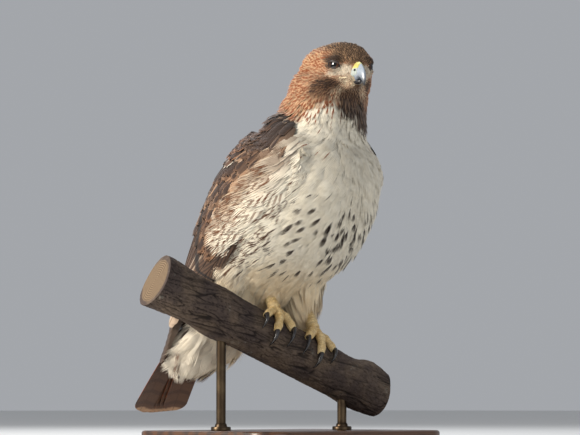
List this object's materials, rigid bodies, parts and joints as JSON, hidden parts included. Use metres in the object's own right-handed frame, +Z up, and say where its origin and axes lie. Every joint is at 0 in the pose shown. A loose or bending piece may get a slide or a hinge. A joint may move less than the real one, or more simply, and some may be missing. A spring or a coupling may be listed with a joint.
{
  "type": "red tailed hawk model",
  "caption": "Life-size model of a red-tailed hawk at rest on a cut length of branch, its head turned to its right, held by a flat base and short rods.",
  "frame": {"origin": "centre of the display base's underside, which rests on the floor", "axes": "+Z up, the bird faces -Y, its left side is +X"},
  "size_m": [0.3029, 0.3608, 0.4207],
  "materials": {
    "head_feathers": "soft feathers, rufous brown streaked with dark brown and buff",
    "body_feathers": "soft feathers, cream white with brown streaks across the belly",
    "wing_feathers": "feathers, dark brown with buff and white edges and bars",
    "tail_feathers": "feathers, rufous above and pale buff below, with a dark band near the tip",
    "iris": "wet gloss, dark brown",
    "cere_skin": "waxy greenish yellow skin",
    "beak_horn": "smooth horn, blue grey with a dark tip",
    "leg_scales": "scaly pale yellow skin",
    "claw_horn": "smooth black horn",
    "bark": "rough dark grey brown bark",
    "stand_wood": "satin dark walnut",
    "stand_metal": "satin black"
  },
  "bodies": {
    "root": {"bill_lower": "beak_horn", "bill_upper": "beak_horn", "cere": "cere_skin", "claw_left_hind": "claw_horn", "claw_left_inner": "claw_horn", "claw_left_middle": "claw_horn", "claw_left_outer": "claw_horn", "claw_right_hind": "claw_horn", "claw_right_inner": "claw_horn", "claw_right_middle": "claw_horn", "claw_right_outer": "claw_horn", "eye_left": "iris", "eye_right": "iris", "foot_left": "leg_scales", "foot_right": "leg_scales", "head": "head_feathers", "neck": "head_feathers", "perch_branch": "bark", "stand_base": "stand_wood", "stand_rod_1": "stand_metal", "stand_rod_2": "stand_metal", "tail": "tail_feathers", "tail_coverts": "body_feathers", "thigh_left": "body_feathers", "thigh_right": "body_feathers", "torso": "body_feathers", "wing_left": "wing_feathers", "wing_right": "wing_feathers"}
  },
  "joints": []
}
